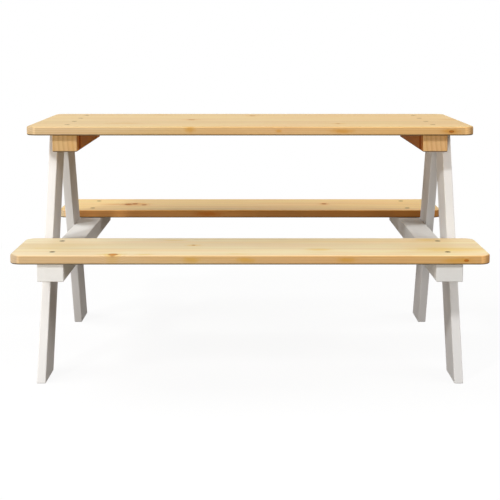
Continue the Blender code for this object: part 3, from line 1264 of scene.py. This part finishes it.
# %% Mark the tabletop
TABLE_KNOTS = [
    ((-0.127, 0.000, 0.0), (0.0075, 0.0080, 0.05)),
    ((0.182, -0.121, 0.0), (0.0044, 0.0052, 0.05)),
    ((0.005, 0.131, 0.0), (0.0065, 0.0070, 0.05)),
    ((0.403, -0.205, -0.001), (0.0048, 0.0120, 0.0024)),
]
TABLE_RESIN = [
    ((-0.127, 0.000, 0.009), (0.028, 0.024, 0.010)),
    ((-0.262, -0.106, 0.009), (0.072, 0.016, 0.008)),
    ((-0.202, 0.166, 0.009), (0.034, 0.020, 0.008)),
    ((0.005, 0.131, 0.009), (0.034, 0.018, 0.008)),
    ((0.435, 0.000, 0.009), (0.034, 0.026, 0.010)),
    ((0.182, -0.121, 0.009), (0.022, 0.018, 0.010)),
    ((-0.120, -0.205, 0.003), (0.016, 0.012, 0.011)),
    ((0.057, -0.205, 0.000), (0.010, 0.008, 0.005)),
    ((0.185, -0.205, 0.000), (0.036, 0.010, 0.007)),
    ((0.401, -0.205, -0.001), (0.030, 0.014, 0.008)),
]
print("marks on the tabletop:", len(TABLE_KNOTS) + len(TABLE_RESIN))

# %% Mark the front seat
FRONT_KNOTS = [
    ((-0.2560, -0.089, 0.009), (0.0090, 0.0080, 0.012)),
    ((-0.110, 0.013, 0.0), (0.0036, 0.0038, 0.05)),
    ((0.403, -0.098, -0.001), (0.0042, 0.0120, 0.0022)),
]
FRONT_RESIN = [
    ((-0.260, -0.089, 0.009), (0.045, 0.010, 0.007)),
    ((-0.198, -0.089, 0.009), (0.026, 0.009, 0.006)),
    ((-0.110, 0.013, 0.009), (0.024, 0.012, 0.008)),
    ((-0.150, 0.068, 0.009), (0.036, 0.008, 0.006)),
    ((-0.026, -0.084, 0.009), (0.030, 0.009, 0.006)),
    ((-0.110, -0.098, 0.000), (0.024, 0.010, 0.009)),
    ((-0.008, -0.098, 0.000), (0.026, 0.010, 0.008)),
    ((0.179, -0.098, 0.000), (0.028, 0.010, 0.008)),
    ((0.388, -0.098, -0.001), (0.045, 0.012, 0.008)),
    ((0.390, -0.036, 0.009), (0.130, 0.036, 0.014)),
    ((0.131, -0.036, 0.009), (0.038, 0.018, 0.008)),
    ((0.351, 0.074, 0.009), (0.032, 0.014, 0.008)),
    ((-0.400, -0.020, 0.009), (0.060, 0.010, 0.006)),
]
print("marks on the front seat:", len(FRONT_KNOTS) + len(FRONT_RESIN))

# %% Mark the rear seat
REAR_KNOTS = [
    ((-0.295, 0.001, 0.0), (0.0090, 0.0130, 0.05)),
    ((-0.280, 0.009, 0.0), (0.0070, 0.0120, 0.05)),
    ((-0.256, -0.008, 0.0), (0.0060, 0.0090, 0.05)),
    ((0.180, 0.010, 0.0), (0.0058, 0.0092, 0.05)),
]
REAR_RESIN = [
    ((-0.277, 0.003, 0.009), (0.050, 0.036, 0.013)),
    ((-0.325, 0.003, 0.009), (0.050, 0.012, 0.008)),
    ((0.180, 0.010, 0.009), (0.020, 0.018, 0.012)),
    ((-0.100, -0.098, 0.000), (0.050, 0.010, 0.009)),
]
print("marks on the rear seat:", len(REAR_KNOTS) + len(REAR_RESIN))

# %% [markdown]
# The boards have rounded corners and eased edges. One bevel can't do both, because the two radii
# differ. So the four upright edges are rounded first, and then every sharp edge is eased with a small
# radius, as a router follows an outline that is already cut. A board's screws are found in its own
# coordinates, because its finish paints shade round their heads.

# %% Make the tabletop and the seats
CORNER_RADIUS = 0.022
CORNER_SEGMENTS = 16
BOARD_EDGE_RADIUS = 0.003
BOARD_EDGE_SEGMENTS = 5
BOARDS = {
    "tabletop": {"staves": 5, "seed": 3, "palette": BOARD_PALETTE},
    "bench_front": {"staves": 3, "seed": 17, "palette": FRONT_PALETTE},
    "bench_rear": {"staves": 3, "seed": 29, "palette": REAR_PALETTE},
}
BOARD_MARKS = {
    "tabletop": {"knots": TABLE_KNOTS, "resin": TABLE_RESIN},
    "bench_front": {"knots": FRONT_KNOTS, "resin": FRONT_RESIN},
    "bench_rear": {"knots": REAR_KNOTS, "resin": REAR_RESIN},
}
BOARD_WOOD = {
    "grain_axis": RIGHT,
    "gloss": BOARD_GLOSS,
    "growth": BOARD_GROWTH,
    "heartwood": BOARD_SHADED_SIDE,
}


def heads_in(node, place):
    """Where a board's own screws come up, in the board's coordinates."""
    inside = place.inverted()
    screws = [SCREW_PLACES[screw] for screw in screw_nodes if overlapping(node, screw)]
    return [inside @ matrix.translation for kind, matrix in screws if kind == "board"]


def make_board(node, **figure):
    low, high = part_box(node)
    size = high - low
    bm = blank(*size)
    uprights = [edge for edge in bm.edges if abs(edge.verts[0].co.z - edge.verts[1].co.z) > size.z / 2]
    eased(bm, CORNER_RADIUS, CORNER_SEGMENTS, uprights)
    eased(bm, BOARD_EDGE_RADIUS, BOARD_EDGE_SEGMENTS)
    place = axes(RIGHT, UP, (low + high) / 2)
    screws = heads_in(node, place)
    finish = pine_finish("pine_of_" + node, size.y, screws=screws, **BOARD_WOOD, **figure)
    return make_piece(node, bm, place, finish)


for node, figure in BOARDS.items():
    make_board(node, **figure, **BOARD_MARKS[node])

# %% [markdown]
# ## Cleats and bearers
# The rails lie front to back, so their own X axis is turned to the set's Y. The bearers are painted.
# The cleats are bare, darker pine in one stave, with upright rings on their ends. Their inner sides
# get an orange-brown tint which is painted shade, for the shade under the tabletop, and their outer
# sides keep a paler tone. The right cleat's inner side is painted darker than the left one's, and the
# tints of the two cleats' ends differ too: both differences are painted light and shade. One tint for
# both sides would leave the inner one too pale or turn the outer one too orange.

# %% Choose the cleats' colours
def throughout(tint):
    """The same tint on the lit side and on the shaded side."""
    return (tint, tint)


OUTER_SIDE_TINT = rgb(0.90, 0.85, 0.78)
# Painted shade: the second edge tint darkens and reddens a cleat's inner side, the right cleat's most.
LEFT_CLEAT_PALETTE = {
    **BOARD_PALETTE,
    "pale": rgb(0.76, 0.55, 0.28),
    "blush": rgb(0.76, 0.52, 0.27),
    "ring": rgb(0.55, 0.33, 0.13),
    "ring_share": 0.50,
    "top_tints": throughout(WHITE),
    "edge_tints": (OUTER_SIDE_TINT, rgb(1.15, 0.66, 0.21)),
    "end_tints": throughout(rgb(0.84, 0.80, 0.755)),
}
RIGHT_CLEAT_PALETTE = {
    **LEFT_CLEAT_PALETTE,
    "edge_tints": (OUTER_SIDE_TINT, rgb(0.67, 0.35, 0.115)),
    "end_tints": throughout(rgb(0.92, 0.84, 0.78)),
}
CLEATS = {
    "cleat_left": {"seed": 41, "palette": LEFT_CLEAT_PALETTE, "heartwood": LEFT_CLEAT_SHADED_SIDE},
    "cleat_right": {"seed": 42, "palette": RIGHT_CLEAT_PALETTE, "heartwood": RIGHT_CLEAT_SHADED_SIDE},
}
print("cleats:", list(CLEATS))

# %% [markdown]
# A cleat has one knot near its front end. The screws in it have their heads in the tabletop and the
# legs, so it gets no painted shade round screw heads. All rails are made by the same lines, with a
# small easing on every edge. The two bearers share one paint, and the second reads its ridges a step
# further along.

# %% Make the rails
RAIL_EDGE_RADIUS = 0.002
RAIL_EDGE_SEGMENTS = 4
FIGURE_STEP = 1.7
CLEAT_KNOTS = [
    ((-0.146, 0.000, 0.0), (0.0100, 0.06, 0.03)),
]
CLEAT_WOOD = {
    "staves": 1,
    "knots": CLEAT_KNOTS,
    "resin": [],
    "screws": [],
    "grain_axis": BACK,
    "gloss": CLEAT_GLOSS,
    "growth": CLEAT_GROWTH,
}


def make_rail(node, finish, apart=0.0):
    low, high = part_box(node)
    size = high - low
    bm = eased(blank(size.y, size.x, size.z), RAIL_EDGE_RADIUS, RAIL_EDGE_SEGMENTS)
    return make_piece(node, bm, axes(BACK, UP, (low + high) / 2), finish, apart)


for node, figure in CLEATS.items():
    low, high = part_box(node)
    make_rail(node, pine_finish("pine_of_" + node, high.x - low.x, **figure, **CLEAT_WOOD))
for number, node in enumerate(("bearer_left", "bearer_right")):
    make_rail(node, bearer_white, FIGURE_STEP * number)

# %% [markdown]
# ## Legs
# A leg leans inwards. Its outer edge just clears the lower edge of the seat, and
# its inner edge meets the tabletop close to the middle of the set. Those two
# points and the leg's width fix the lean, so it is worked out and not typed: the
# line between the points leans by one angle, and the leg's width turns the plank
# back from it by another.

# %% Work out the lean
LEG_WIDTH = 0.088
APEX_GAP = 0.014
SEAT_CLEARANCE = 0.0003

seat_low, seat_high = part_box("bench_rear")
leg_low, leg_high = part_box("leg_rear_left")
outer_edge = seat_low.y - SEAT_CLEARANCE
run = outer_edge - APEX_GAP / 2
rise = leg_high.z - seat_low.z
lean = math.acos(LEG_WIDTH / math.hypot(run, rise)) - math.atan2(rise, run)
half_cut = LEG_WIDTH / 2 / math.cos(lean)
foot_middle = outer_edge + seat_low.z * math.tan(lean) - half_cut
top_middle = APEX_GAP / 2 + half_cut
print(f"lean: {math.degrees(lean):.2f} degrees")
print(f"from the middle: foot {foot_middle:.4f} m, top {top_middle:.4f} m")

# %% [markdown]
# The leg could be drawn as a slanted outline and given a thickness. Sawing it
# from a straight plank keeps its width exact and the grain along it. The plank
# is sawn level at both ends, with a bisecting plane that drops what lies beyond
# it, and the cut is closed. The four legs share one paint, and each reads its
# ridges at a step of its own.

# %% Make the legs
LEG_EDGE_RADIUS = 0.002
LEG_EDGE_SEGMENTS = 4


def sawn(bm, point, direction):
    """Drop what lies beyond a plane and close the cut."""
    geometry = bm.verts[:] + bm.edges[:] + bm.faces[:]
    bmesh.ops.bisect_plane(bm, geom=geometry, plane_co=point, plane_no=direction, clear_outer=True)
    bmesh.ops.holes_fill(bm, edges=[edge for edge in bm.edges if edge.is_boundary])
    return bm


def make_leg(node, side, end):
    low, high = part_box(node)
    across = (low.x + high.x) / 2
    foot = Vector((across, end * foot_middle, low.z))
    top = Vector((across, end * top_middle, high.z))
    place = axes(top - foot, (side, 0, 0), (foot + top) / 2)
    inside = place.inverted()
    up = (inside.to_3x3() @ Vector(UP)).normalized()
    bm = blank((top - foot).length + 2 * LEG_WIDTH, LEG_WIDTH, high.x - low.x)
    sawn(bm, inside @ top, up)
    sawn(bm, inside @ foot, -up)
    eased(bm, LEG_EDGE_RADIUS, LEG_EDGE_SEGMENTS)
    return make_piece(node, bm, place, leg_white, FIGURE_STEP * (side + 2 * end))


for side_name, side in (("left", -1), ("right", 1)):
    for end_name, end in (("front", -1), ("rear", 1)):
        make_leg(f"leg_{end_name}_{side_name}", side, end)

# %% [markdown]
# ## Driving the screws
# Every screw is a copy of one of the two kinds, put where its hole is. Linked
# copies would share one mesh, but each keeps a mesh of its own, because a mesh
# carries its place here.

# %% Place the screws
for node in screw_nodes:
    kind, place = SCREW_PLACES[node]
    hand_over(node, SCREW_MESHES[kind].copy(), place, screw_metal)
print("screws placed:", len(screw_nodes))

# %% [markdown]
# ## Compare the sizes
# The dressed set must be as large as the measured one. It could be measured on the screen, piece by
# piece. The boxes round the two models say it in twelve numbers, and the largest difference is
# printed.

# %% Compare both boxes
MM_PER_METRE = 1000

visual_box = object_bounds()
boxes = {
    "cad": [list(corner) for corner in cad_box],
    "visual": [list(corner) for corner in visual_box],
}
corners = zip(boxes["cad"], boxes["visual"])
differences = [abs(cad - seen) for pair in corners for cad, seen in zip(*pair)]
print(f"largest difference: {max(differences) * MM_PER_METRE:.3f} mm")
